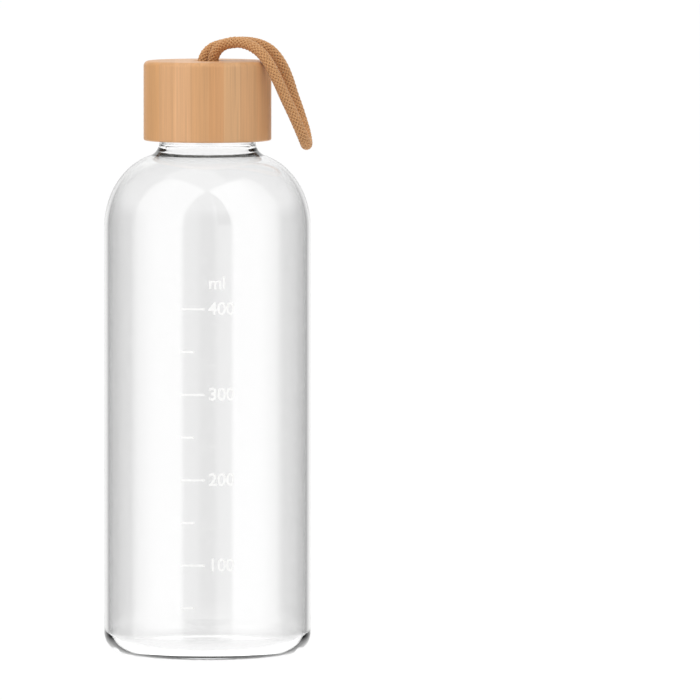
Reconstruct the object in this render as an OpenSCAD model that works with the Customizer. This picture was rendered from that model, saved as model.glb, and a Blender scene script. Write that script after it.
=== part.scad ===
// Glass water bottle with a screw-on bamboo lid and a braided carrying loop.
// Millimetres, +Z up, origin at the centre of the circle that the bottle stands on.

/* [Glass body] */
// Outside diameter of the body
body_d = 70; // [60:1:90]
// Height of the rim above the table
bottle_h = 184.5; // [150:0.5:260]
// Glass thickness of the body and the shoulder
body_wall = 1.7; // [1.4:0.1:3]
// Glass thickness of the base
base_t = 2.4; // [2:0.1:5]
// Radius of the outside corner between body and base
heel_r = 6.6; // [5:0.1:9]
// Radius of the inside corner between body and floor
floor_r = 5.2; // [4:0.1:8]
// Width of the flat ring that the bottle stands on
stand_ring_w = 4; // [2:0.5:6]
// Height of the hollow under the base at its centre
punt_h = 1; // [0.5:0.1:2]
// Height of the rounded shoulder
shoulder_h = 25.5; // [20:0.5:35]
// Glass thickness at the top of the shoulder's curve
crown_t = 1; // [0.9:0.1:1.6]

/* [Glass neck] */
// Outside diameter of the neck between its threads
neck_d = 32.6; // [28:0.1:38]
// Glass thickness of the neck
neck_wall = 1.3; // [1.2:0.1:2.2]
// Height of the neck from the top of the shoulder's curve to the rim
neck_h = 15; // [13.5:0.1:17]
// Distance from the neck's outside to the level top of the shoulder's curve
crown_w = 2.9; // [2.4:0.1:4]
// Width of the flare between the neck and the shoulder
flare_w = 3.2; // [2:0.1:3.6]
// Height of the flare
flare_h = 3.4; // [3:0.1:4.2]
// Radius of the edge inside, between the shoulder and the neck
mouth_edge_r = 0.2; // [0.1:0.1:0.6]
// Radius of the fire-polished edges of the rim
rim_r = 0.5; // [0.3:0.1:0.55]

/* [Screw thread] */
// Rise of the thread in one turn
pitch = 4; // [3.6:0.1:4.4]
// Turns of thread on the glass, and in the liner
thread_turns = 1.5; // [1:0.25:1.75]
// How far each thread stands out of its wall
thread_depth = 1.4; // [1:0.1:1.6]
// Height of the glass thread at its root
glass_thread_w = 2; // [1.6:0.1:2.2]
// Height of the liner's thread at its root
liner_thread_w = 1.7; // [1.4:0.1:1.9]
// Height of each thread at its crest
thread_crest_w = 0.8; // [0.6:0.1:1]
// Gap from a thread's crest to the opposite wall
thread_gap = 0.4; // [0.3:0.05:0.6]
// Height from the glass thread's upper end to the rim
thread_below_rim = 1.4; // [1:0.1:2]

/* [Lid] */
// Height of the bamboo lid
lid_h = 26.9; // [24:0.1:28]
// Bamboo round the liner
lid_wall = 2.3; // [2:0.1:4]
// Bamboo over the knot
lid_top_t = 3.8; // [3:0.1:6]
// Radius of the lid's top edge
lid_top_r = 1.8; // [0.5:0.1:2.4]
// Radius of the lid's bottom edge
lid_bottom_r = 0.6; // [0.3:0.1:0.9]
// Radius of the edge round the cord hole
cord_hole_r = 0.8; // [0.4:0.1:1.2]

/* [Liner and sealing ring] */
// Wall of the threaded liner
liner_wall = 1.1; // [0.9:0.1:2]
// Top plate of the liner
liner_top_t = 1.8; // [1.2:0.1:3]
// How far the liner's lower edge sits inside the lid
liner_set_back = 0.6; // [0.3:0.1:1.2]
// Film of glue round and over the liner
glue_gap = 0.1; // [0.05:0.05:0.2]
// Thickness of the sealing ring
seal_t = 1.9; // [1.5:0.1:3]
// How far the sealing ring reaches into the mouth beyond the neck's inside
seal_lap = 2; // [1:0.5:4]
// Play over and under the sealing ring
seal_play = 0.05; // [0.05:0.01:0.1]

/* [Carrying loop] */
// Diameter of the braided cord
cord_d = 4; // [3.4:0.1:4]
// Room round the two strands in their hole
cord_gap = 0.3; // [0.3:0.05:0.6]
// Diameter of the knot
knot_d = 12; // [11:0.5:15]
// Height of the knot
knot_h = 7.6; // [6:0.1:9]
// Radius of the knot's shoulders
knot_round = 1.4; // [0.8:0.1:1.4]
// Room round the knot in its pocket
knot_gap = 0.4; // [0.3:0.05:0.6]

/* [Hidden] */
$fn = 96;

arc_steps = 12;           // segments in a quarter turn of an outline
thread_steps = 48;        // segments in one turn of a thread
thread_bed = 0.4;         // how deep a thread's root is set into its wall
thread_run_in = 30;       // degrees over which a thread's end rises to full height
thread_start_share = 0.3; // height of a thread at its very end, as a share

// Glass
body_r = body_d / 2;
neck_r = neck_d / 2;
mouth_r = neck_r - neck_wall;
punt_r = body_r - heel_r - stand_ring_w;
crown_r = neck_r - crown_w;
crown_z = bottle_h - neck_h;
shoulder_z = crown_z - shoulder_h;
shoulder_out = body_r - crown_r;
// Height at which the outer and the inner shoulder curve meet the neck's walls
neck_foot_z = shoulder_z + shoulder_h * sqrt(1 - pow(crown_w / shoulder_out, 2));
mouth_foot_z = shoulder_z + (shoulder_h - crown_t)
    * sqrt(1 - pow((crown_w - neck_wall) / (shoulder_out - body_wall), 2));

// Thread: the liner's lies just under the glass's when the lid is closed
glass_thread_r = neck_r + thread_depth;
liner_root_r = glass_thread_r + thread_gap;
liner_thread_r = liner_root_r - thread_depth;
liner_r = liner_root_r + liner_wall;
glass_thread_z = bottle_h - thread_below_rim - glass_thread_w / 2 - thread_turns * pitch;
thread_drop = (glass_thread_w + liner_thread_w) / 4 + thread_crest_w / 2 + thread_gap / 2 + 0.1;

// Lid, from the rim upwards
liner_under_z = bottle_h + seal_t + 2 * seal_play;
liner_top_z = liner_under_z + liner_top_t;
pocket_top_z = liner_top_z + knot_h + 2 * knot_gap;
lid_top_z = pocket_top_z + lid_top_t;
lid_bottom_z = lid_top_z - lid_h;
lid_bore_r = liner_r + glue_gap;
lid_r = lid_bore_r + lid_wall;
liner_bottom_z = lid_bottom_z + liner_set_back;
pocket_r = knot_d / 2 + knot_gap;
hole_r = cord_d + cord_gap;
seal_r = liner_root_r - thread_gap;
seal_bore_r = mouth_r - seal_lap;
// Angle at which the liner's thread comes clear of its lower edge
liner_thread_z = liner_bottom_z + liner_thread_w / 2 + thread_gap / 2;
liner_thread_start = 360 * (liner_thread_z - glass_thread_z + thread_drop) / pitch;

// Carrying loop: the knot's top, and the cord's route from it over the front of the lid,
// round the end of the loop and back, measured from the centre of the lid's top
knot_top = -lid_top_t - knot_gap;
cord_sides = 10;
cord_route = [
    [1.8, -1.0, knot_top], [1.8, -1.0, -2.4], [1.8, -1.1, -0.6], [2.2, -1.6, 1.6],
    [3.2, -2.2, 3.5], [4.9, -3.0, 5.1], [7.4, -4.1, 6.1], [10.4, -5.5, 6.4],
    [13.4, -7.2, 5.8], [16.0, -8.9, 4.5], [18.2, -10.5, 2.7], [20.1, -11.6, 0.3],
    [22.0, -12.0, -3.0], [24.0, -11.7, -7.1], [26.5, -10.8, -12.7], [29.0, -9.5, -18.0],
    [31.4, -7.6, -23.5], [32.9, -4.2, -27.2], [33.5, -0.2, -28.3], [33.6, 3.8, -27.2],
    [33.0, 6.9, -24.0], [31.8, 8.3, -20.0], [30.5, 8.2, -16.0], [29.0, 7.6, -11.8],
    [27.9, 6.9, -8.2], [26.7, 6.2, -4.8], [25.2, 5.4, -1.6], [23.2, 4.7, 1.4],
    [20.7, 4.1, 3.8], [17.3, 3.6, 5.4], [13.2, 3.2, 6.1], [9.2, 2.8, 6.0],
    [5.4, 2.4, 5.4], [2.6, 2.2, 4.6], [1.0, 2.0, 3.7], [-0.3, 1.7, 2.4],
    [-1.1, 1.4, 1.0], [-1.6, 1.1, -0.6], [-1.8, 1.0, -2.4], [-1.8, 1.0, knot_top],
];

// Points of an elliptical arc round [x, z], from angle a to angle b
function arc(x, z, rx, rz, a, b, steps = arc_steps) =
    [for (i = [0 : steps]) let (t = a + (b - a) * i / steps) [x + rx * cos(t), z + rz * sin(t)]];

// Points of a flare from p to q, drawn towards their corner c
function flare(p, c, q) =
    let (h = c + 0.4 * (p - c), k = c + 0.6 * (q - c))
    [for (i = [0 : arc_steps]) let (t = i / arc_steps, u = 1 - t)
        p * u * u * u + 3 * h * t * u * u + 3 * k * t * t * u + q * t * t * t];

// Points of a low dome of radius r and height h standing on z, from the axis outwards
function dome(r, h, z, steps = 8) =
    let (ball = (r * r + h * h) / (2 * h))
    [for (i = [0 : steps]) let (x = r * i / steps) [x, z + h - ball + sqrt(ball * ball - x * x)]];

function reversed(points) = [for (i = [len(points) - 1 : -1 : 0]) points[i]];

// The shoulder's curve from the body's wall up to radius r, inset at its side and at its top
function shoulder(side, top, r) =
    arc(crown_r, shoulder_z, shoulder_out - side, shoulder_h - top,
        0, acos((r - crown_r) / (shoulder_out - side)), 2 * arc_steps);

// One turned ridge of thread. wall_r is the wall it stands on, crest_r its top.
module thread(z, start, wall_r, crest_r, root_w, crest_w) {
    side = sign(crest_r - wall_r);
    end = start + 360 * thread_turns;
    steps = ceil(thread_steps * thread_turns);
    function share(a) = min(1, thread_start_share
        + (1 - thread_start_share) * min(a - start, end - a) / thread_run_in);
    function ring(a) = let (
        crest = wall_r + (crest_r - wall_r) * share(a),
        root = wall_r - side * thread_bed,
        h = z + pitch * a / 360,
        low = h - root_w / 2, high = h + root_w / 2,
        crest_low = h - crest_w / 2, crest_high = h + crest_w / 2
    ) [for (p = [[root, low], [crest, crest_low], [crest, crest_high], [root, high]])
        [p.x * cos(a), p.x * sin(a), p.y]];
    sweep([for (i = [0 : steps]) ring(start + (end - start) * i / steps)], side > 0);
}

// A closed skin over rings of equal length
module sweep(rings, inside_out = false) {
    n = len(rings[0]);
    last = len(rings) - 1;
    sides = [for (k = [0 : last - 1], i = [0 : n - 1]) let (
        a = k * n + i, b = k * n + (i + 1) % n, c = a + n, d = b + n
    ) each [[a, b, d], [a, d, c]]];
    ends = [[for (i = [n - 1 : -1 : 0]) i], [for (i = [0 : n - 1]) last * n + i]];
    faces = concat(sides, ends);
    polyhedron([for (r = rings) each r], inside_out ? faces : [for (f = faces) reversed(f)],
        convexity = 10);
}

// The bottle: one piece of blown borosilicate glass, with its thread
module glass_bottle() {
    inner_r = body_r - body_wall;
    outer_shoulder = shoulder(0, 0, neck_r + flare_w);
    inner_shoulder = shoulder(body_wall, crown_t, mouth_r + mouth_edge_r);
    outside = concat(
        dome(punt_r, punt_h, 0),
        arc(body_r - heel_r, heel_r, heel_r, heel_r, -90, 0),
        outer_shoulder,
        flare(outer_shoulder[len(outer_shoulder) - 1], [neck_r, neck_foot_z],
            [neck_r, neck_foot_z + flare_h]),
        arc(neck_r - rim_r, bottle_h - rim_r, rim_r, rim_r, 0, 90, 6)
    );
    inside = concat(
        dome(inner_r - floor_r, punt_h, base_t),
        arc(inner_r - floor_r, base_t + floor_r, floor_r, floor_r, -90, 0),
        inner_shoulder,
        [[mouth_r, mouth_foot_z + mouth_edge_r]],
        arc(mouth_r + rim_r, bottle_h - rim_r, rim_r, rim_r, 180, 90, 6)
    );
    color([0.85, 0.92, 0.93, 0.5]) union() {
        rotate_extrude() polygon(concat(outside, reversed(inside)));
        thread(glass_thread_z, 0, neck_r, glass_thread_r, glass_thread_w, thread_crest_w);
    }
}

// The lid: bamboo strips glued into a block and turned, bored from below for the liner
module lid_shell() {
    color([0.84, 0.65, 0.47]) rotate_extrude() polygon(concat(
        [[lid_bore_r, lid_bottom_z]],
        arc(lid_r - lid_bottom_r, lid_bottom_z + lid_bottom_r, lid_bottom_r, lid_bottom_r, -90, 0, 4),
        arc(lid_r - lid_top_r, lid_top_z - lid_top_r, lid_top_r, lid_top_r, 0, 90, 8),
        arc(hole_r + cord_hole_r, lid_top_z - cord_hole_r, cord_hole_r, cord_hole_r, 90, 180, 4),
        [[hole_r, pocket_top_z], [pocket_r, pocket_top_z]],
        [[pocket_r, liner_top_z + glue_gap], [lid_bore_r, liner_top_z + glue_gap]]
    ));
}

// The liner: a moulded polypropylene cup with the thread inside, glued into the lid
module threaded_liner() {
    color([0.93, 0.93, 0.91]) union() {
        rotate_extrude() polygon([
            [liner_root_r, liner_bottom_z], [liner_r, liner_bottom_z],
            [liner_r, liner_top_z], [0, liner_top_z],
            [0, liner_under_z], [liner_root_r, liner_under_z],
        ]);
        thread(glass_thread_z - thread_drop, liner_thread_start, liner_root_r, liner_thread_r,
            liner_thread_w, thread_crest_w);
    }
}

// The sealing ring: a flat silicone washer between the rim and the liner's plate
module sealing_ring() {
    color([0.97, 0.97, 0.96])
        translate([0, 0, bottle_h + seal_play])
            difference() {
                cylinder(h = seal_t, r = seal_r);
                translate([0, 0, -1]) cylinder(h = seal_t + 2, r = seal_bore_r);
            }
}

// A smooth curve through the route, at share u of the way from point i to the next
function along(p, i, u) =
    let (last = len(p) - 1, b = p[i], c = p[i + 1],
        a = i == 0 ? 2 * b - c : p[i - 1], d = i + 1 == last ? 2 * c - b : p[i + 2])
    0.5 * (2 * b + (c - a) * u + (2 * a - 5 * b + 4 * c - d) * u * u
        + (3 * b - a - 3 * c + d) * u * u * u);

function unit(v) = v / norm(v);

// The carrying loop: one length of round braided cord, both ends going down into the lid
module cord_loop() {
    last = len(cord_route) - 1;
    line = [for (i = [0 : last - 1]) each [cord_route[i], along(cord_route, i, 0.5)], cord_route[last]];
    n = len(line) - 1;
    function heading(i) = i == 0 || i == n ? [0, 0, i == 0 ? 1 : -1]
        : unit(line[i + 1] - line[i - 1]);
    // Carries a sideways direction along the line without twisting it
    function frames(i, side) = i > n ? [] :
        let (t = heading(i), s = unit(side - t * (side * t)))
        concat([[t, s]], frames(i + 1, s));
    rings = [for (i = [0 : n]) let (f = frames(0, [0, 1, 0])[i], t = f[0], s = f[1], w = cross(t, s))
        [for (k = [0 : cord_sides - 1]) let (a = 360 * k / cord_sides)
            line[i] + cord_d / 2 * (s * cos(a) + w * sin(a))]];
    color([0.75, 0.54, 0.36]) translate([0, 0, lid_top_z]) sweep(rings);
}

// The knot that holds both ends of the loop in the pocket under the lid's top
module cord_knot() {
    color([0.71, 0.5, 0.32]) translate([0, 0, lid_top_z + knot_top - knot_h]) rotate_extrude()
        polygon(concat(
            [[0, 0]],
            arc(knot_d / 2 - knot_round, knot_round, knot_round, knot_round, -90, 0, 6),
            arc(knot_d / 2 - knot_round, knot_h - knot_round, knot_round, knot_round, 0, 90, 6),
            [[0, knot_h]]
        ));
}

glass_bottle();
lid_shell();
threaded_liner();
sealing_ring();
cord_loop();
cord_knot();
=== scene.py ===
# A glass water bottle with a turned bamboo lid and a braided carrying loop.
import math

import bpy
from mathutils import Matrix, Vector


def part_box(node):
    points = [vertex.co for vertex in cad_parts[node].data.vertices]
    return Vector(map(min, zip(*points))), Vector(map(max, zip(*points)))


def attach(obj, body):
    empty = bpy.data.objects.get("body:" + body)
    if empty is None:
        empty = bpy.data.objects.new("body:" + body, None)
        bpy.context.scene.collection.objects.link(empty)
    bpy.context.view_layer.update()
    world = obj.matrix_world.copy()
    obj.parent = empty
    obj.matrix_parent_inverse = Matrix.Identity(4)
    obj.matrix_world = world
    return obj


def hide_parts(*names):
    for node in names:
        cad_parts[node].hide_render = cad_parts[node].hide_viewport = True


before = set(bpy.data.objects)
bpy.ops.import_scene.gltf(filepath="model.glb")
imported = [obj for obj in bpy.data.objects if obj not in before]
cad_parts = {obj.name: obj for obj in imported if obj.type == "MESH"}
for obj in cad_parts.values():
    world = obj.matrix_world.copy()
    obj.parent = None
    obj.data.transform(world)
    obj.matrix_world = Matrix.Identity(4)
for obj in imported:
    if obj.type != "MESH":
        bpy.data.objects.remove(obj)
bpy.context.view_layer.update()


# --- Camera -------------------------------------------------------------------------------------
# A long lens a little above the lid, tilted down at the middle of the bottle. The bottle stands
# left of the frame's middle, so the lens is shifted and the camera isn't turned.
camera_distance = 2.87
camera_height = 0.305
aimed_at_height = 0.1025
film_width = 36
focal_length = 437
frame_shift = 0.2036
farthest_seen = 20

camera_data = bpy.data.cameras.new("camera")
camera_data.sensor_width = film_width
camera_data.lens = focal_length
camera_data.shift_x = frame_shift
camera_data.clip_end = farthest_seen
camera = bpy.data.objects.new("camera", camera_data)
camera.location = (0, -camera_distance, camera_height)
tilt = math.atan2(camera_height - aimed_at_height, camera_distance)
camera.rotation_euler = (math.pi / 2 - tilt, 0, 0)
bpy.context.collection.objects.link(camera)
bpy.context.scene.camera = camera


# --- Carrying loop ------------------------------------------------------------------------------
# One length of 4 mm round braid, both ends led down through the lid's middle hole. Sixteen spun
# yarns, eight each way round, pass over and under each other on a soft core.
MM = 0.001
cord_d = 4.0
yarns_each_way = 8
braid_lay = 12.0
yarn_d = 0.8
yarn_ride = 0.3
yarn_step = 0.25
core_d = 2.7
yarn_sides = 6
core_sides = 12
fibre_twist = 2.2
fibres_per_mm = 5.0
lid_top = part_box("lid_shell")[1][2]
knot_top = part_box("cord_knot")[1][2] / MM - lid_top / MM
steps_between_points = 10
cord_route = [
    (1.8, -1.0, knot_top), (1.8, -1.0, -2.4), (1.8, -1.1, -0.6), (2.2, -1.6, 1.6),
    (3.2, -2.2, 3.5), (4.9, -3.0, 5.1), (7.4, -4.1, 6.1), (10.4, -5.5, 6.4),
    (13.4, -7.2, 5.8), (16.0, -8.9, 4.5), (18.2, -10.5, 2.7), (20.1, -11.6, 0.3),
    (22.0, -12.0, -3.0), (24.0, -11.7, -7.1), (26.5, -10.8, -12.7), (29.0, -9.5, -18.0),
    (31.4, -7.6, -23.5), (32.9, -4.2, -27.2), (33.5, -0.2, -28.3), (33.6, 3.8, -27.2),
    (33.0, 6.9, -24.0), (31.8, 8.3, -20.0), (30.5, 8.2, -16.0), (29.0, 7.6, -11.8),
    (27.9, 6.9, -8.2), (26.7, 6.2, -4.8), (25.2, 5.4, -1.6), (23.2, 4.7, 1.4),
    (20.7, 4.1, 3.8), (17.3, 3.6, 5.4), (13.2, 3.2, 6.1), (9.2, 2.8, 6.0),
    (5.4, 2.4, 5.4), (2.6, 2.2, 4.6), (1.0, 2.0, 3.7), (-0.3, 1.7, 2.4),
    (-1.1, 1.4, 1.0), (-1.6, 1.1, -0.6), (-1.8, 1.0, -2.4), (-1.8, 1.0, knot_top),
]


def smooth_line(route):
    """A smooth line through the route's points, as Vectors in metres, raised to the lid's top."""
    p = [Vector(q) for q in route]
    p = [2 * p[0] - p[1]] + p + [2 * p[-1] - p[-2]]
    line = []
    for a, b, c, d in zip(p, p[1:], p[2:], p[3:]):
        for i in range(steps_between_points):
            u = i / steps_between_points
            line.append(0.5 * (2 * b + (c - a) * u + (2 * a - 5 * b + 4 * c - d) * u * u
                               + (3 * b - a - 3 * c + d) * u ** 3))
    line.append(p[-2])
    return [q * MM + Vector((0, 0, lid_top)) for q in line]


def add(tree, kind, inputs=None, **settings):
    """Adds a node with its settings. inputs gives each socket a value, or the node or the socket
    that feeds it."""
    made = tree.nodes.new(kind)
    for name, value in settings.items():
        setattr(made, name, value)
    for name, value in (inputs or {}).items():
        if isinstance(value, bpy.types.Node):
            value = value.outputs[0]
        if isinstance(value, bpy.types.NodeSocket):
            tree.links.new(value, made.inputs[name])
        else:
            made.inputs[name].default_value = value
    return made


def srgb(code):
    """A linear colour from sRGB hex."""
    parts = [int(code[i:i + 2], 16) / 255 for i in (1, 3, 5)]
    return tuple(c / 12.92 if c <= 0.04045 else ((c + 0.055) / 1.055) ** 2.4 for c in parts) + (1,)


def new_material(name):
    """A material, its tree and its Principled shader."""
    material = bpy.data.materials.new(name)
    material.use_nodes = True
    tree = material.node_tree
    return material, tree, tree.nodes["Principled BSDF"]


def mottled(name, spots_per_mm, dark, light, detail=2.0):
    """A material whose colour wavers between two tones, its tree, its shader and its noise."""
    material, tree, shader = new_material(name)
    place = add(tree, "ShaderNodeTexCoord").outputs["Object"]
    noise = add(tree, "ShaderNodeTexNoise",
                {"Vector": place, "Scale": spots_per_mm / MM, "Detail": detail})
    tones = add(tree, "ShaderNodeValToRGB", {0: noise})
    for stop, tone in zip(tones.color_ramp.elements, (dark, light)):
        stop.color = srgb(tone)
    tree.links.new(tones.outputs[0], shader.inputs["Base Color"])
    return material, tree, shader, noise


# Spun cotton yarn, dyed in the hank: matt, with the twist of its fibres across each yarn. The
# fibres are drawn 0.2 mm apart along the cord, several times coarser than real ones, to show.
yarn_material, tree, shader = new_material("spun_cotton_yarn")
along, around, strand = (add(tree, "ShaderNodeAttribute", attribute_name=name).outputs["Fac"]
                         for name in ("along", "around", "strand"))
twist = add(tree, "ShaderNodeMath", {0: along, 1: fibre_twist}, operation="MULTIPLY")
twisted = add(tree, "ShaderNodeMath", {0: around, 1: twist}, operation="ADD")
fibre_place = add(tree, "ShaderNodeCombineXYZ", {0: twisted, 1: along, 2: strand})
fibres = add(tree, "ShaderNodeTexNoise",
             {"Vector": fibre_place, "Scale": fibres_per_mm, "Detail": 3.0})
tones = add(tree, "ShaderNodeValToRGB", {0: fibres})
for stop, position, tone in zip(tones.color_ramp.elements, (0.3, 0.7), ("#B4804C", "#D7A673")):
    stop.position, stop.color = position, srgb(tone)
tree.links.new(tones.outputs[0], shader.inputs["Base Color"])
bump = add(tree, "ShaderNodeBump", {"Height": fibres, "Strength": 0.5, "Distance": 0.1 * MM})
tree.links.new(bump.outputs[0], shader.inputs["Normal"])
shader.inputs["Roughness"].default_value = 0.8
shader.inputs["Sheen Weight"].default_value = 0.25
shader.inputs["Sheen Roughness"].default_value = 0.5

# Cotton core behind the yarns, rough, coloured as painted shade: dark brown for the shadow in the
# gaps between the yarns, seen only as dark specks where they cross.
core_painted_shade_material, _, shader, _ = mottled("cord_core_painted_shade", 0.9, "#4A2E18", "#6B4526")
shader.inputs["Roughness"].default_value = 0.9


def braid_tree():
    """Geometry nodes that lay yarns over and under each other round a line."""
    tree = bpy.data.node_groups.new("round_braid", "GeometryNodeTree")
    face = tree.interface
    face.new_socket("Line", in_out="INPUT", socket_type="NodeSocketGeometry")
    for name in ("Lay", "Yarn diameter", "Middle of yarns", "Yarn ride", "Core radius", "Step"):
        face.new_socket(name, in_out="INPUT", socket_type="NodeSocketFloat")
    face.new_socket("Yarns each way", in_out="INPUT", socket_type="NodeSocketInt")
    for name in ("Yarn", "Core"):
        face.new_socket(name, in_out="INPUT", socket_type="NodeSocketMaterial")
    face.new_socket("Braid", in_out="OUTPUT", socket_type="NodeSocketGeometry")
    given = tree.nodes.new("NodeGroupInput").outputs
    each_way = given["Yarns each way"]

    # The line in even steps, which keep its directions and length for every yarn
    even = add(tree, "GeometryNodeResampleCurve", {"Curve": given["Line"], "Length": given["Step"]},
               mode="LENGTH")
    held = add(tree, "GeometryNodeCaptureAttribute", {"Geometry": even}, domain="POINT")
    kept = (("VECTOR", "out", add(tree, "GeometryNodeInputNormal").outputs[0]),
            ("VECTOR", "ahead", add(tree, "GeometryNodeInputTangent").outputs[0]),
            ("FLOAT", "length", add(tree, "GeometryNodeSplineParameter").outputs["Length"]))
    for kind, name, value in kept:
        held.capture_items.new(kind, name)
        tree.links.new(value, held.inputs[name])
    out, ahead, length = (held.outputs[name] for name in ("out", "ahead", "length"))

    # One copy for each yarn: the first half goes round one way, the second half the other
    both = add(tree, "ShaderNodeMath", {0: each_way, 1: 2.0}, operation="MULTIPLY")
    yarns = add(tree, "GeometryNodeDuplicateElements", {"Geometry": held, "Amount": both},
                domain="SPLINE")
    number = yarns.outputs["Duplicate Index"]
    last_of_first = add(tree, "ShaderNodeMath", {0: each_way, 1: 0.5}, operation="SUBTRACT")
    second = add(tree, "ShaderNodeMath", {0: number, 1: last_of_first}, operation="GREATER_THAN")
    way = add(tree, "ShaderNodeMath", {0: second, 1: -2.0, 2: 1.0}, operation="MULTIPLY_ADD")

    # Each yarn's angle round the line, and how far it rides out or in at each crossing
    turns = add(tree, "ShaderNodeMath", {0: length, 1: given["Lay"]}, operation="DIVIDE")
    start = add(tree, "ShaderNodeMath", {0: number, 1: each_way}, operation="DIVIDE")
    turned_by = add(tree, "ShaderNodeMath", {0: way, 1: turns, 2: start}, operation="MULTIPLY_ADD")
    angle = add(tree, "ShaderNodeMath", {0: turned_by, 1: 2 * math.pi}, operation="MULTIPLY")
    crossed = add(tree, "ShaderNodeMath", {0: turns, 1: each_way}, operation="MULTIPLY")
    crossed = add(tree, "ShaderNodeMath", {0: crossed, 1: 2 * math.pi}, operation="MULTIPLY")
    over = add(tree, "ShaderNodeMath", {0: crossed}, operation="COSINE")
    over = add(tree, "ShaderNodeMath", {0: over, 1: way}, operation="MULTIPLY")
    radius = add(tree, "ShaderNodeMath",
                 {0: over, 1: given["Yarn ride"], 2: given["Middle of yarns"]},
                 operation="MULTIPLY_ADD")
    across = add(tree, "ShaderNodeVectorMath", {0: ahead, 1: out}, operation="CROSS_PRODUCT")
    parts = []
    for direction, wave in ((out, "COSINE"), (across, "SINE")):
        share = add(tree, "ShaderNodeMath", {0: angle}, operation=wave)
        parts.append(add(tree, "ShaderNodeVectorMath", {0: direction, "Scale": share},
                         operation="SCALE"))
    outward = add(tree, "ShaderNodeVectorMath", {0: parts[0], 1: parts[1]}, operation="ADD")
    offset = add(tree, "ShaderNodeVectorMath", {0: outward, "Scale": radius}, operation="SCALE")
    laid = add(tree, "GeometryNodeSetPosition", {"Geometry": yarns, "Offset": offset})

    # Skins round the yarns and the core, with the attributes that their materials read
    length_mm = add(tree, "ShaderNodeMath", {0: length, 1: MM}, operation="DIVIDE")
    for name, value in (("strand", number), ("along", length_mm)):
        laid = add(tree, "GeometryNodeStoreNamedAttribute",
                   {"Geometry": laid, "Name": name, "Value": value}, data_type="FLOAT")
    yarn_r = add(tree, "ShaderNodeMath", {0: given["Yarn diameter"], 1: 0.5}, operation="MULTIPLY")
    ring = add(tree, "GeometryNodeCurvePrimitiveCircle",
               {"Resolution": yarn_sides, "Radius": yarn_r})
    ring_place = add(tree, "GeometryNodeSplineParameter").outputs["Factor"]
    ring = add(tree, "GeometryNodeStoreNamedAttribute",
               {"Geometry": ring, "Name": "around", "Value": ring_place}, data_type="FLOAT")
    yarn_skin = add(tree, "GeometryNodeCurveToMesh",
                    {"Curve": laid, "Profile Curve": ring, "Fill Caps": True})
    core_ring = add(tree, "GeometryNodeCurvePrimitiveCircle",
                    {"Resolution": core_sides, "Radius": given["Core radius"]})
    core = add(tree, "GeometryNodeCurveToMesh",
               {"Curve": even, "Profile Curve": core_ring, "Fill Caps": True})
    core = add(tree, "GeometryNodeStoreNamedAttribute",
               {"Geometry": core, "Name": "strand", "Value": -1.0}, data_type="FLOAT")
    joined = add(tree, "GeometryNodeJoinGeometry", {0: yarn_skin})
    tree.links.new(core.outputs[0], joined.inputs[0])
    smooth = add(tree, "GeometryNodeSetShadeSmooth", {"Geometry": joined})
    whole = add(tree, "GeometryNodeRealizeInstances", {"Geometry": smooth})
    strand = add(tree, "GeometryNodeInputNamedAttribute", {"Name": "strand"}, data_type="FLOAT")
    in_core = add(tree, "ShaderNodeMath", {0: strand, 1: -0.5}, operation="LESS_THAN")
    dressed = add(tree, "GeometryNodeSetMaterial", {"Geometry": whole, "Material": given["Yarn"]})
    dressed = add(tree, "GeometryNodeSetMaterial",
                  {"Geometry": dressed, "Selection": in_core, "Material": given["Core"]})
    add(tree, "NodeGroupOutput", {0: dressed})
    return tree


round_braid = braid_tree()


def plain_mesh(carrier, tree, values, name):
    """Runs a geometry tree on an object and keeps the result as a plain mesh object."""
    modifier = carrier.modifiers.new(tree.name, "NODES")
    modifier.node_group = tree
    for item in tree.interface.items_tree:
        if item.item_type == "SOCKET" and item.in_out == "INPUT" and item.name in values:
            modifier[item.identifier] = values[item.name]
    bpy.context.view_layer.update()
    seen = carrier.evaluated_get(bpy.context.evaluated_depsgraph_get())
    mesh = bpy.data.meshes.new_from_object(seen)
    mesh.name = name
    piece = bpy.data.objects.new(name, mesh)
    bpy.context.collection.objects.link(piece)
    carrier.modifiers.remove(modifier)
    bpy.data.objects.remove(carrier)
    return piece


def braided(name, line, thickness):
    """A braided cord along a line of points."""
    curve = bpy.data.curves.new(name + "_line", "CURVE")
    curve.dimensions = "3D"
    spline = curve.splines.new("POLY")
    spline.points.add(len(line) - 1)
    for point, place in zip(spline.points, line):
        point.co = (*place, 1)
    carrier = bpy.data.objects.new(name + "_line", curve)
    bpy.context.collection.objects.link(carrier)
    share = thickness / cord_d * MM
    values = {
        "Lay": braid_lay * share, "Yarn diameter": yarn_d * share,
        "Middle of yarns": (cord_d / 2 - yarn_d / 2 - yarn_ride) * share,
        "Yarn ride": yarn_ride * share, "Core radius": core_d / 2 * share,
        "Step": yarn_step * share, "Yarns each way": yarns_each_way,
        "Yarn": yarn_material, "Core": core_painted_shade_material,
    }
    return plain_mesh(carrier, round_braid, values, name)


cord_line = smooth_line(cord_route)
cord = braided("carrying_loop", cord_line, cord_d)
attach(cord, "lid")
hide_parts("cord_loop")


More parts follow.
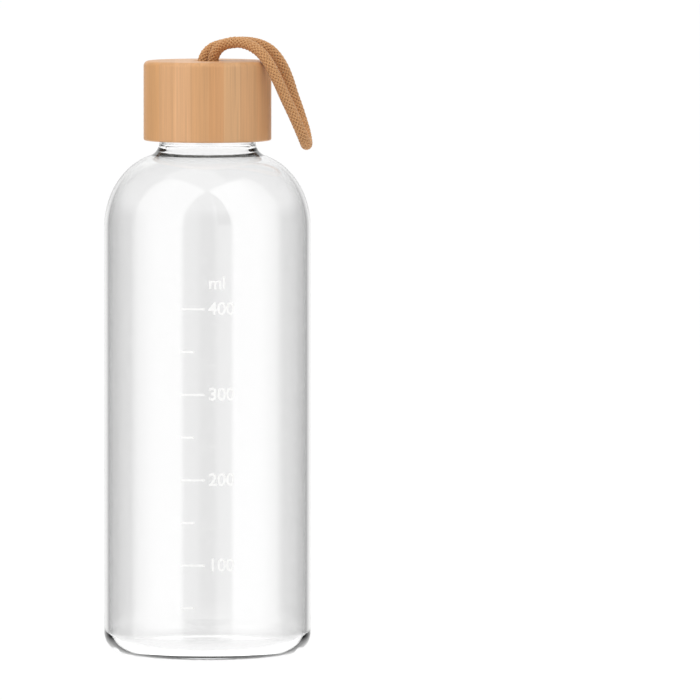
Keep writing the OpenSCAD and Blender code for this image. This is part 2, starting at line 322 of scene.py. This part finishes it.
# --- Knot ---------------------------------------------------------------------------------------
# Both ends of the braid tied in one overhand knot, pulled up hard against the wood. It fills the
# pocket between the lid's top and the liner.
knot_low, knot_high = (Vector(corner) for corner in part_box("cord_knot"))
knot_middle = (knot_low + knot_high) / 2
knot_cord_d = 3.4
knot_ring_r = 2.75 * MM
knot_wave = 1.45 * MM
knot_rise = (knot_high.z - knot_low.z) / 2 - knot_cord_d / 2 * MM
knot_steps = 240
knot_line = []
for i in range(knot_steps):
    t = 2 * math.pi * i / (knot_steps - 1)
    r = knot_ring_r + knot_wave * math.cos(3 * t)
    knot_line.append(knot_middle + Vector(
        (r * math.cos(2 * t), r * math.sin(2 * t), knot_rise * math.sin(3 * t))))
knot = braided("loop_knot", knot_line, knot_cord_d)
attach(knot, "lid")
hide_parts("cord_knot")


# --- Glass bottle -------------------------------------------------------------------------------
# One piece of clear borosilicate glass, blown into a mould and fire-polished at the rim. The neck
# flares into the shoulder and has a right-hand thread of one and a half turns.
bottle_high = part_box("glass_bottle")[1]
body_r, bottle_h = bottle_high[0] / MM, bottle_high[2] / MM
body_wall = 1.7
base_t = 2.4
heel_r = 6.6
floor_r = 5.2
stand_ring_w = 4.0
punt_h = 1.0
shoulder_h = 25.5
crown_t = 1.0
neck_r = 16.3
neck_wall = 1.3
neck_h = 15.0
crown_w = 2.9
flare_w = 3.2
flare_h = 3.4
flare_handles = (0.6, 0.4)
mouth_edge_r = 0.2
rim_r = 0.5
pitch = 4.0
thread_turns = 1.5
thread_depth = 1.4
thread_w = 2.0
thread_crest_w = 0.8
thread_below_rim = 1.4
thread_run_in = 30
same_size = 1e-6
mouth_r = neck_r - neck_wall
crown_r = neck_r - crown_w
shoulder_z = bottle_h - neck_h - shoulder_h
shoulder_out = body_r - crown_r
neck_foot_z = shoulder_z + shoulder_h * math.sqrt(1 - (crown_w / shoulder_out) ** 2)
mouth_foot_z = shoulder_z + (shoulder_h - crown_t) * math.sqrt(
    1 - ((crown_w - neck_wall) / (shoulder_out - body_wall)) ** 2)
thread_z = bottle_h - thread_below_rim - thread_w / 2 - thread_turns * pitch


def arc(x, z, rx, rz, start, end, steps):
    """Points of an elliptical arc, from one angle to another in degrees."""
    angles = [math.radians(start + (end - start) * i / steps) for i in range(steps + 1)]
    return [(x + rx * math.cos(a), z + rz * math.sin(a)) for a in angles]


def flare(p, c, q, steps=24):
    """Points of a flare from p to q, whose two handles point at their corner c."""
    handles = [tuple(end[k] + (c[k] - end[k]) * share for k in (0, 1))
               for end, share in zip((p, q), flare_handles)]
    points = []
    for i in range(steps + 1):
        t = i / steps
        shares = ((1 - t) ** 3, 3 * t * (1 - t) ** 2, 3 * t * t * (1 - t), t ** 3)
        points.append(tuple(sum(share * point[k] for share, point in zip(shares, (p, *handles, q)))
                            for k in (0, 1)))
    return points


def straight(p, q, steps):
    """Points between p and q, without p and q."""
    return [tuple(p[k] + (q[k] - p[k]) * i / steps for k in (0, 1)) for i in range(1, steps)]


def dome(r, h, z, steps=16):
    """Points of a low dome standing on z, from the axis outwards."""
    ball = (r * r + h * h) / (2 * h)
    return [(x, z + h - ball + math.sqrt(ball * ball - x * x))
            for x in (r * i / steps for i in range(steps + 1))]


def shoulder(side_inset, top_inset, r, steps=48):
    """The shoulder's curve, inset from the outside, from the body's wall up to radius r."""
    out, rise = shoulder_out - side_inset, shoulder_h - top_inset
    reach = math.degrees(math.acos((r - crown_r) / out))
    return arc(crown_r, shoulder_z, out, rise, 0, reach, steps)


def ridge(z, angle, helix_z, start, root_w, crest_w):
    """How much of its full height a thread has at a height and an angle in degrees."""
    end = start + 360 * thread_turns
    most = 0.0
    for turn in range(-1, 4):
        along_thread = angle + 360 * turn
        if start < along_thread < end:
            off = abs(z - helix_z - pitch * along_thread / 360)
            flank = min(1, max(0, (root_w / 2 - off) / ((root_w - crest_w) / 2)))
            run_in = min(1, min(along_thread - start, end - along_thread) / thread_run_in)
            most = max(most, flank * flank * (3 - 2 * flank) * run_in)
    return most


def turned(name, outline, closed, thread=None, around=240):
    """Turns an outline in millimetres round the axis. thread(r, z, angle) may move a point out."""
    vertices, rings = [], []
    for r, z in outline:
        if r < same_size:
            rings.append([len(vertices)] * around)
            vertices.append((0, 0, z * MM))
            continue
        rings.append(list(range(len(vertices), len(vertices) + around)))
        for i in range(around):
            angle = 360 * i / around
            out = (r + (thread(r, z, angle) if thread else 0)) * MM
            a = math.radians(angle)
            vertices.append((out * math.cos(a), out * math.sin(a), z * MM))
    faces = []
    pairs = list(zip(rings, rings[1:])) + ([(rings[-1], rings[0])] if closed else [])
    for low, high in pairs:
        for i in range(around):
            j = (i + 1) % around
            corners = [low[i], low[j], high[j], high[i]]
            faces.append([c for k, c in enumerate(corners) if c != corners[k - 1]])
    mesh = bpy.data.meshes.new(name)
    mesh.from_pydata(vertices, [], faces)
    mesh.shade_smooth()
    piece = bpy.data.objects.new(name, mesh)
    bpy.context.collection.objects.link(piece)
    return piece


def neck_thread(r, z, angle):
    """How far the glass thread stands out of the neck."""
    if abs(r - neck_r) > same_size:
        return 0
    return thread_depth * ridge(z, angle, thread_z, 0, thread_w, thread_crest_w)


inner_r = body_r - body_wall
ring_outer_r = body_r - heel_r
ring_inner_r = ring_outer_r - stand_ring_w
outer_shoulder = shoulder(0, 0, neck_r + flare_w)
inner_shoulder = shoulder(body_wall, crown_t, mouth_r + mouth_edge_r)
mouth_foot = (mouth_r, mouth_foot_z + mouth_edge_r)
flare_top = (neck_r, neck_foot_z + flare_h)
rim_z = bottle_h - rim_r
outside = (
    dome(ring_inner_r, punt_h, 0)
    + straight((ring_inner_r, 0), (ring_outer_r, 0), steps=4)
    + arc(ring_outer_r, heel_r, heel_r, heel_r, -90, 0, steps=24)
    + straight((body_r, heel_r), (body_r, shoulder_z), steps=30)
    + outer_shoulder
    + flare(outer_shoulder[-1], (neck_r, neck_foot_z), flare_top)[1:]
    + straight(flare_top, (neck_r, rim_z), steps=56)
    + arc(neck_r - rim_r, rim_z, rim_r, rim_r, 0, 90, steps=8)
)
inside = (
    dome(inner_r - floor_r, punt_h, base_t)
    + arc(inner_r - floor_r, base_t + floor_r, floor_r, floor_r, -90, 0, steps=24)[1:]
    + straight((inner_r, base_t + floor_r), (inner_r, shoulder_z), steps=30)
    + inner_shoulder
    + [mouth_foot]
    + straight(mouth_foot, (mouth_r, rim_z), steps=12)
    + arc(mouth_r + rim_r, rim_z, rim_r, rim_r, 180, 90, steps=8)
)
bottle = turned("blown_bottle", outside + inside[::-1], False, neck_thread)

# Clear borosilicate, smooth from the fire: sharp reflections and no tint. Lamps shine through it,
# so that it throws the pale shadow of real glass.
glass, tree, shader = new_material("clear_borosilicate_glass")
shader.inputs["Base Color"].default_value = srgb("#F8F8F8")
shader.inputs["Roughness"].default_value = 0.0
shader.inputs["IOR"].default_value = 1.47
shader.inputs["Transmission Weight"].default_value = 1.0
rays = add(tree, "ShaderNodeLightPath").outputs
lamp_ray = add(tree, "ShaderNodeMath", {0: rays["Is Shadow Ray"], 1: rays["Is Diffuse Ray"]},
               operation="MAXIMUM")
clear = add(tree, "ShaderNodeBsdfTransparent", {"Color": srgb("#F4F4F4")})
mixed = add(tree, "ShaderNodeMixShader", {0: lamp_ray, 1: shader, 2: clear})
tree.links.new(mixed.outputs[0], tree.nodes["Material Output"].inputs["Surface"])
bottle.data.materials.append(glass)
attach(bottle, "bottle")
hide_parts("glass_bottle")


# --- Graduation ---------------------------------------------------------------------------------
# White ink printed on the front of the glass and fired: a stroke for every 50 ml and a number for
# every 100 ml.
ink_t = 0.04
ml_100_h = 28.7
first_100_z = 32.5
last_ml = 400
unit_at_ml = 430
stroke_t = 0.7
long_stroke, short_stroke = 8.0, 4.5
stroke_left = -9.0
number_left = 0.3
number_h = 4.3
number_boldness = 0.1
font_size_for_1_mm = 1.38


def wrapped(name, points, faces):
    """An object of thin ink: points (x, height) in millimetres laid round the body's front."""
    count = len(points)
    vertices = []
    for r in (body_r, body_r + ink_t):
        for x, z in points:
            a = x / body_r
            vertices.append((r * math.sin(a) * MM, -r * math.cos(a) * MM, z * MM))
    edges = dict.fromkeys(edge for face in faces for edge in zip(face, face[1:] + face[:1]))
    skin = [list(reversed(face)) for face in faces]
    skin += [[i + count for i in face] for face in faces]
    skin += [[a, b, b + count, a + count] for a, b in edges if (b, a) not in edges]
    mesh = bpy.data.meshes.new(name)
    mesh.from_pydata(vertices, [], skin)
    made = bpy.data.objects.new(name, mesh)
    bpy.context.collection.objects.link(made)
    return made


def bar(x0, x1, z, steps=12):
    """Points and faces of a level stroke whose middle is at height z."""
    points = [(x0 + (x1 - x0) * i / steps, z + side * stroke_t / 2)
              for side in (-1, 1) for i in range(steps + 1)]
    return points, [[i, i + 1, i + steps + 2, i + steps + 1] for i in range(steps)]


def lettered(text, x, z):
    """Points and faces of a text that starts at x, its middle at height z."""
    curve = bpy.data.curves.new(text, "FONT")
    curve.body = text
    curve.size = number_h * font_size_for_1_mm
    curve.align_y = "CENTER"
    curve.offset = number_boldness
    carrier = bpy.data.objects.new(text, curve)
    bpy.context.collection.objects.link(carrier)
    bpy.context.view_layer.update()
    mesh = bpy.data.meshes.new_from_object(
        carrier.evaluated_get(bpy.context.evaluated_depsgraph_get()))
    bpy.data.objects.remove(carrier)
    points = [(x + v.co.x, z + v.co.y) for v in mesh.vertices]
    faces = [list(f.vertices) for f in mesh.polygons]
    bpy.data.meshes.remove(mesh)
    return points, faces


def filled_to(ml):
    """The height that so many millilitres reach."""
    return first_100_z + (ml / 100 - 1) * ml_100_h


prints = []
for ml in range(50, last_ml + 1, 50):
    numbered = ml % 100 == 0
    stroke = long_stroke if numbered else short_stroke
    prints.append(bar(stroke_left, stroke_left + stroke, filled_to(ml)))
    if numbered:
        prints.append(lettered(str(ml), number_left, filled_to(ml)))
prints.append(lettered("ml", number_left, filled_to(unit_at_ml)))
points, faces = [], []
for some_points, some_faces in prints:
    faces += [[k + len(points) for k in face] for face in some_faces]
    points += some_points
graduation = wrapped("graduation", points, faces)

# Opaque white glass ink, slightly glossy, with the faint mottle of a screen print.
ink, _, shader, _ = mottled("fired_white_ink", 1.5, "#F1F1EF", "#FCFCFB")
shader.inputs["Roughness"].default_value = 0.35
shader.inputs["IOR"].default_value = 1.5
graduation.data.materials.append(ink)
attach(graduation, "bottle")


# --- Liner --------------------------------------------------------------------------------------
# A moulded polypropylene cup with the matching thread inside, glued into the lid. Its thread has
# the same pitch and height as the one on the neck, and a narrower foot.
liner_low, liner_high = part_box("threaded_liner")
liner_bottom, liner_top = liner_low[2] / MM, liner_high[2] / MM
liner_r = liner_high[0] / MM
liner_wall = 1.1
liner_plate = 1.8
liner_edge = 0.25
liner_thread_w = 1.7
thread_gap = 0.4
thread_play = 0.1
liner_root_r = liner_r - liner_wall
liner_under = liner_top - liner_plate
thread_drop = ((thread_w + liner_thread_w) / 4 + thread_crest_w / 2 + thread_gap / 2
               + thread_play)
liner_thread_start = 360 * (
    liner_bottom + liner_thread_w / 2 + thread_gap / 2 - thread_z + thread_drop) / pitch


def inside_thread(r, z, angle):
    """How far the liner's thread stands in from its wall, as a negative distance."""
    if abs(r - liner_root_r) > same_size:
        return 0
    return -thread_depth * ridge(z, angle, thread_z - thread_drop, liner_thread_start,
                                 liner_thread_w, thread_crest_w)


inner_top = (liner_root_r, liner_under - liner_edge)
inner_bottom = (liner_root_r, liner_bottom + liner_edge)
liner = turned(
    "moulded_liner",
    [inner_bottom, (liner_root_r + liner_edge, liner_bottom), (liner_r - liner_edge, liner_bottom),
     (liner_r, liner_bottom + liner_edge), (liner_r, liner_top - liner_edge),
     (liner_r - liner_edge, liner_top), (0, liner_top), (0, liner_under),
     (liner_root_r - liner_edge, liner_under), inner_top]
    + straight(inner_top, inner_bottom, steps=60),
    True, inside_thread)

# Natural polypropylene: milky, waxy, with the fine matt of a spark-eroded mould.
liner_material, tree, shader, grit = mottled("moulded_polypropylene", 2.5, "#E4E4DF", "#EFEFEA")
bump = add(tree, "ShaderNodeBump", {"Height": grit, "Strength": 0.2, "Distance": 0.05 * MM})
tree.links.new(bump.outputs[0], shader.inputs["Normal"])
shader.inputs["Roughness"].default_value = 0.45
shader.inputs["IOR"].default_value = 1.49
liner.data.materials.append(liner_material)
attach(liner, "lid")
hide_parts("threaded_liner")


# --- Sealing ring -------------------------------------------------------------------------------
# A flat moulded ring of silicone, held under the liner's plate. It closes on the glass rim when
# the lid is screwed down.
seal_low, seal_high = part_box("sealing_ring")
seal_r, seal_lowest, seal_highest = seal_high[0] / MM, seal_low[2] / MM, seal_high[2] / MM
seal_inside_mouth = 2
seal_edge = 0.3
outer_x, inner_x = seal_r - seal_edge, mouth_r - seal_inside_mouth + seal_edge
lower_z, upper_z = seal_lowest + seal_edge, seal_highest - seal_edge
seal_outline = []
for x, z, start in ((outer_x, lower_z, -90), (outer_x, upper_z, 0),
                    (inner_x, upper_z, 90), (inner_x, lower_z, 180)):
    seal_outline += arc(x, z, seal_edge, seal_edge, start, start + 90, steps=4)
seal = turned("silicone_ring", seal_outline, True)

# Silicone: white, soft, faintly dusty.
seal_material, _, shader, _ = mottled("moulded_silicone", 1.2, "#EDEDEA", "#F6F6F3", 3.0)
shader.inputs["Roughness"].default_value = 0.6
shader.inputs["IOR"].default_value = 1.41
seal.data.materials.append(seal_material)
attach(seal, "seal")
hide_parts("sealing_ring")


# --- Bamboo lid ---------------------------------------------------------------------------------
# Bamboo strips glued side by side into a block, turned and sanded, and bored from below for the
# liner. The fibres stand upright, so the side shows their length and the top their cut ends.
lid_low, lid_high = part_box("lid_shell")
lid_bottom_z, lid_top_z, lid_r = lid_low[2] / MM, lid_high[2] / MM, lid_high[0] / MM
glue_gap = 0.1
lid_top_r = 1.8
lid_bottom_r = 0.6
lid_top_t = 3.8
cord_room = 0.3
knot_room = 0.4
hole_edge = 0.8
crisp_edge = 50
lid_bore_r = liner_r + glue_gap
hole_r = cord_d + cord_room
pocket_top = lid_top_z - lid_top_t
pocket_r = knot_high.x / MM + knot_room
lid_shelf = liner_top + glue_gap
foot_x, foot_z = lid_r - lid_bottom_r, lid_bottom_z + lid_bottom_r
brow_x, brow_z = lid_r - lid_top_r, lid_top_z - lid_top_r
lid = turned(
    "bamboo_lid",
    [(lid_bore_r, lid_bottom_z)]
    + arc(foot_x, foot_z, lid_bottom_r, lid_bottom_r, -90, 0, steps=6)
    + straight((lid_r, foot_z), (lid_r, brow_z), steps=10)
    + arc(brow_x, brow_z, lid_top_r, lid_top_r, 0, 90, steps=12)
    + straight((brow_x, lid_top_z), (hole_r + hole_edge, lid_top_z), steps=6)
    + arc(hole_r + hole_edge, lid_top_z - hole_edge, hole_edge, hole_edge, 90, 180, steps=8)
    + [(hole_r, pocket_top), (pocket_r, pocket_top), (pocket_r, lid_shelf),
       (lid_bore_r, lid_shelf)],
    True)
lid.data.set_sharp_from_angle(angle=math.radians(crisp_edge))

# Carbonised bamboo, oiled: honey-coloured strips of slightly different tone and width, with fine
# upright fibres, paler bundles and a few thin dark veins. The fibres are drawn 0.6 mm apart,
# about three times as coarse as real ones, to show.
block_w = 44
strips = [(0, "#CE9A66"), (5.8, "#CC9B6C"), (11.0, "#D3A274"), (16.3, "#CD9B6B"),
          (22.4, "#C99564"), (27.5, "#CA9C6E"), (33.0, "#C89768"), (38.6, "#CA9768")]
wood_fibres_per_mm = 1.7
bundles_per_mm = 0.42
veins_per_mm = 0.95
squeezed_upright = 0.02
bamboo, tree, shader = new_material("laminated_bamboo")
place = add(tree, "ShaderNodeTexCoord").outputs["Object"]
xyz = add(tree, "ShaderNodeSeparateXYZ", {0: place}).outputs
across = add(tree, "ShaderNodeMapRange", {0: xyz[0], 1: -block_w / 2 * MM, 2: block_w / 2 * MM})
tones = add(tree, "ShaderNodeValToRGB", {0: across})
tones.color_ramp.interpolation = "CONSTANT"
for i, (strip_left, tone) in enumerate(strips):
    position = strip_left / block_w
    stop = tones.color_ramp.elements[i] if i < 2 else tones.color_ramp.elements.new(position)
    stop.position, stop.color = position, srgb(tone)
upright = add(tree, "ShaderNodeVectorMath", {0: place, 1: (1, 1, squeezed_upright)},
              operation="MULTIPLY")
fibres = add(tree, "ShaderNodeTexNoise", {"Vector": upright, "Scale": wood_fibres_per_mm / MM,
                                          "Detail": 3.0, "Roughness": 0.6})
bundles = add(tree, "ShaderNodeTexNoise",
              {"Vector": upright, "Scale": bundles_per_mm / MM, "Detail": 2.0})
veins = add(tree, "ShaderNodeTexNoise",
            {"Vector": upright, "Scale": veins_per_mm / MM, "Detail": 1.0})
fine = add(tree, "ShaderNodeMapRange", {0: fibres, 3: 0.82, 4: 1.16})
broad = add(tree, "ShaderNodeMapRange", {0: bundles, 3: 0.87, 4: 1.13})
vein = add(tree, "ShaderNodeMapRange", {0: veins, 1: 0.62, 2: 0.72, 3: 1.0, 4: 0.92})
grain = add(tree, "ShaderNodeMath", {0: fine, 1: broad}, operation="MULTIPLY")
grain = add(tree, "ShaderNodeMath", {0: grain, 1: vein}, operation="MULTIPLY")
coloured = add(tree, "ShaderNodeVectorMath", {0: tones, "Scale": grain}, operation="SCALE")
tree.links.new(coloured.outputs[0], shader.inputs["Base Color"])
bump = add(tree, "ShaderNodeBump", {"Height": fibres, "Strength": 0.15, "Distance": 0.1 * MM})
tree.links.new(bump.outputs[0], shader.inputs["Normal"])
shader.inputs["Roughness"].default_value = 0.42
shader.inputs["IOR"].default_value = 1.5
lid.data.materials.append(bamboo)
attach(lid, "lid")
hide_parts("lid_shell")


# --- Floor --------------------------------------------------------------------------------------
# A flat white sheet of paper, lit to white, with the bottle's own faint shadow left on it. It is no
# part of the studio that the glass reflects.
paper_size = 40
paper_glow = 1.02
paper_glow_share = 0.92
bpy.ops.mesh.primitive_plane_add(size=paper_size)
floor = bpy.context.object
floor.name = "paper_floor"
paper, tree, shader = new_material("white_paper")
shader.inputs["Base Color"].default_value = srgb("#F2F2F2")
shader.inputs["Roughness"].default_value = 0.9
rays = add(tree, "ShaderNodeLightPath").outputs
seen = add(tree, "ShaderNodeMath", {0: rays["Is Camera Ray"], 1: rays["Is Transmission Ray"]},
           operation="MAXIMUM")
white = add(tree, "ShaderNodeEmission", {"Color": (1, 1, 1, 1), "Strength": paper_glow})
paleness = add(tree, "ShaderNodeMath", {0: seen, 1: paper_glow_share}, operation="MULTIPLY")
sheet = add(tree, "ShaderNodeMixShader", {0: paleness, 1: shader, 2: white})
reflected = add(tree, "ShaderNodeMath", {0: rays["Glossy Depth"], 1: 0.5},
                operation="GREATER_THAN")
open_air = add(tree, "ShaderNodeBsdfTransparent")
sheet = add(tree, "ShaderNodeMixShader", {0: reflected, 1: sheet, 2: open_air})
tree.links.new(sheet.outputs[0], tree.nodes["Material Output"].inputs["Surface"])
floor.data.materials.append(paper)


# --- Lamp ---------------------------------------------------------------------------------------
# One soft lamp, high up at the front and left of the middle, shapes the wood and the cord. The
# glass doesn't mirror it.
lamp_size = 0.35
lamp_watts = 11.0
lamp_place = Vector((-0.3, -0.8, 1.7))
lit_point = Vector((0, 0, 0.18))
key_data = bpy.data.lights.new("key_softbox", "AREA")
key_data.size = lamp_size
key_data.energy = lamp_watts
key = bpy.data.objects.new("key_softbox", key_data)
key.location = lamp_place
key.rotation_euler = (lit_point - lamp_place).to_track_quat("-Z", "Y").to_euler()
key.visible_camera = False
key.visible_glossy = False
key.visible_transmission = False
bpy.context.collection.objects.link(key)


# --- Studio -------------------------------------------------------------------------------------
# Two tall soft boxes stand at the front, left and right, with a dark gap between them that closes
# at their tops. A dim panel hangs overhead and a white backdrop stands behind. Levels go round the
# bottle: 0 degrees in front, positive to the right.
round_the_bottle = [
    (-180, 1.0), (-158, 0.85), (-141, 0.1), (-97, 0.0), (-90, 1.1), (-70, 1.6), (-32, 1.65),
    (-26, 0.3), (-6, 0.05), (6, 0.1), (13, 0.95), (26, 1.1), (31, 1.95), (60, 1.8), (90, 0.8),
    (97, 0.05), (138, 0.0), (148, 0.4), (165, 0.95), (180, 1.0)]
brightest = 2.0
gap_top = math.radians(51.7)
half_gap = math.radians(45)
narrowest = 0.02
step_side = (math.radians(12), math.radians(27))
step_top = (math.radians(5), math.radians(9))
step_level = 0.12
backdrop_top = (math.radians(39), math.radians(45))
wedge_spread = 0.74
soft_edge = 0.04
panel_edges = [(-0.84, -0.55, 0.09), (0.26, -0.965, 0.3)]
panel_level = 0.6
overhead_level = 0.05
floor_edge = (math.radians(8), math.radians(20))
floor_level = 1.6
lowest_ceiling = 0.02

world = bpy.data.worlds.new("studio")
bpy.context.scene.world = world
world.use_nodes = True
tree = world.node_tree
tree.nodes.clear()
towards = add(tree, "ShaderNodeTexCoord").outputs["Generated"]
x, y, z = add(tree, "ShaderNodeSeparateXYZ", {0: towards}).outputs
up = add(tree, "ShaderNodeMath", {0: z}, operation="ARCSINE")
frontward = add(tree, "ShaderNodeMath", {0: y, 1: -1.0}, operation="MULTIPLY")
azimuth = add(tree, "ShaderNodeMath", {0: x, 1: frontward}, operation="ARCTAN2")

# The gap narrows towards its top: directions in front are spread before their level is read.
near_top = add(tree, "ShaderNodeMath", {0: up, 1: gap_top}, operation="DIVIDE")
near_top = add(tree, "ShaderNodeMath", {0: near_top, 1: 0.0}, operation="MAXIMUM")
closed = add(tree, "ShaderNodeMath", {0: near_top, 1: near_top}, operation="MULTIPLY")
width = add(tree, "ShaderNodeMath", {0: 1.0, 1: closed}, operation="SUBTRACT")
width = add(tree, "ShaderNodeMath", {0: width, 1: narrowest}, operation="MAXIMUM")
widening = add(tree, "ShaderNodeMath", {0: width}, operation="INVERSE_SQRT")
spread = add(tree, "ShaderNodeMath", {0: azimuth, 1: widening}, operation="MULTIPLY")
spread = add(tree, "ShaderNodeMath", {0: spread, 1: half_gap}, operation="MINIMUM")
spread = add(tree, "ShaderNodeMath", {0: spread, 1: -half_gap}, operation="MAXIMUM")
off_middle = add(tree, "ShaderNodeMath", {0: azimuth}, operation="ABSOLUTE")
in_front = add(tree, "ShaderNodeMath", {0: off_middle, 1: half_gap}, operation="LESS_THAN")
read_at = add(tree, "ShaderNodeMix", {0: in_front, 2: azimuth, 3: spread}, data_type="FLOAT")
turn = add(tree, "ShaderNodeMath", {0: read_at, 1: 1 / (2 * math.pi), 2: 0.5},
           operation="MULTIPLY_ADD")
ring_light = add(tree, "ShaderNodeValToRGB", {0: turn})
stops = ring_light.color_ramp.elements
for i, (degrees, level) in enumerate(round_the_bottle):
    position = degrees / 360 + 0.5
    stop = stops[i] if i < 2 else stops.new(position)
    stop.position = position
    stop.color = (level / brightest, level / brightest, level / brightest, 1)
softboxes = add(tree, "ShaderNodeMath", {0: ring_light, 1: brightest}, operation="MULTIPLY")

# The right box's inner part ends low, and is dark above its step.
on_step = add(tree, "ShaderNodeMath",
              {0: read_at, 1: sum(step_side) / 2, 2: (step_side[1] - step_side[0]) / 2},
              operation="COMPARE")
above_step = add(tree, "ShaderNodeMapRange", {0: up, 1: step_top[0], 2: step_top[1]})
stepped = add(tree, "ShaderNodeMath", {0: on_step, 1: above_step}, operation="MULTIPLY")
softboxes = add(tree, "ShaderNodeMix", {0: stepped, 2: softboxes, 3: step_level},
                data_type="FLOAT")

# The ceiling as a plane at height 1: the boxes lean over it and leave a wedge free, which opens
# towards the back from the top of the gap. The panel fills the wedge's front part.
height = add(tree, "ShaderNodeMath", {0: z, 1: lowest_ceiling}, operation="MAXIMUM")
right = add(tree, "ShaderNodeMath", {0: x, 1: height}, operation="DIVIDE")
back = add(tree, "ShaderNodeMath", {0: y, 1: height}, operation="DIVIDE")
from_tip = add(tree, "ShaderNodeMath", {0: back, 1: 1 / math.tan(gap_top)}, operation="ADD")
half_wedge = add(tree, "ShaderNodeMath", {0: from_tip, 1: wedge_spread}, operation="MULTIPLY")
off_line = add(tree, "ShaderNodeMath", {0: right}, operation="ABSOLUTE")
inside_by = add(tree, "ShaderNodeMath", {0: half_wedge, 1: off_line}, operation="SUBTRACT")
free = add(tree, "ShaderNodeMapRange", {0: inside_by, 1: -soft_edge, 2: soft_edge})
over_backdrop = add(tree, "ShaderNodeMapRange",
                    {0: up, 1: backdrop_top[0], 2: backdrop_top[1]})
free = add(tree, "ShaderNodeMath", {0: free, 1: over_backdrop}, operation="MULTIPLY")
panel = 1.0
for to_right, to_back, limit in panel_edges:
    reach = add(tree, "ShaderNodeMath", {0: right, 1: to_right, 2: limit},
                operation="MULTIPLY_ADD")
    reach = add(tree, "ShaderNodeMath", {0: back, 1: to_back, 2: reach},
                operation="MULTIPLY_ADD")
    within = add(tree, "ShaderNodeMapRange", {0: reach, 1: -soft_edge, 2: soft_edge})
    panel = add(tree, "ShaderNodeMath", {0: within, 1: panel}, operation="MULTIPLY")
overhead = add(tree, "ShaderNodeMix", {0: panel, 2: overhead_level, 3: panel_level},
               data_type="FLOAT")
studio = add(tree, "ShaderNodeMix", {0: free, 2: softboxes, 3: overhead}, data_type="FLOAT")
down = add(tree, "ShaderNodeMath", {0: up, 1: -1.0}, operation="MULTIPLY")
on_floor = add(tree, "ShaderNodeMapRange", {0: down, 1: floor_edge[0], 2: floor_edge[1]})
studio = add(tree, "ShaderNodeMix", {0: on_floor, 2: studio, 3: floor_level}, data_type="FLOAT")

# Matt surfaces get a plain light instead, stronger from above, from behind and from the left.
plain_below, plain_above = 0.0, 1.22
plain_left, plain_behind = 0.1, 0.22
above = add(tree, "ShaderNodeMath", {0: z, 1: 0.5, 2: 0.5}, operation="MULTIPLY_ADD")
plain = add(tree, "ShaderNodeMix", {0: above, 2: plain_below, 3: plain_above}, data_type="FLOAT")
for side, extra in ((x, -plain_left), (y, plain_behind)):
    plain = add(tree, "ShaderNodeMath", {0: side, 1: extra, 2: plain}, operation="MULTIPLY_ADD")

# What is seen straight on, or through glass without a reflection on the way, is the white backdrop.
rays = add(tree, "ShaderNodeLightPath").outputs
unreflected = add(tree, "ShaderNodeMath", {0: rays["Glossy Depth"], 1: 0.5}, operation="LESS_THAN")
through = add(tree, "ShaderNodeMath", {0: rays["Is Transmission Ray"], 1: unreflected},
              operation="MULTIPLY")
backdrop = add(tree, "ShaderNodeMath", {0: rays["Is Camera Ray"], 1: through},
               operation="MAXIMUM")
level = add(tree, "ShaderNodeMix", {0: rays["Is Glossy Ray"], 2: plain, 3: studio},
            data_type="FLOAT")
level = add(tree, "ShaderNodeMix", {0: backdrop, 2: level, 3: 1.0}, data_type="FLOAT")
sky = add(tree, "ShaderNodeBackground", {"Color": (1, 1, 1, 1), "Strength": level})
add(tree, "ShaderNodeOutputWorld", {"Surface": sky})

# Light runs on inside the thick glass of the heel and the neck, so it is followed further there.
bpy.context.scene.cycles.max_bounces = 18
bpy.context.scene.cycles.glossy_bounces = 12
bpy.context.scene.cycles.transmission_bounces = 18
bpy.context.scene.view_settings.view_transform = "Standard"
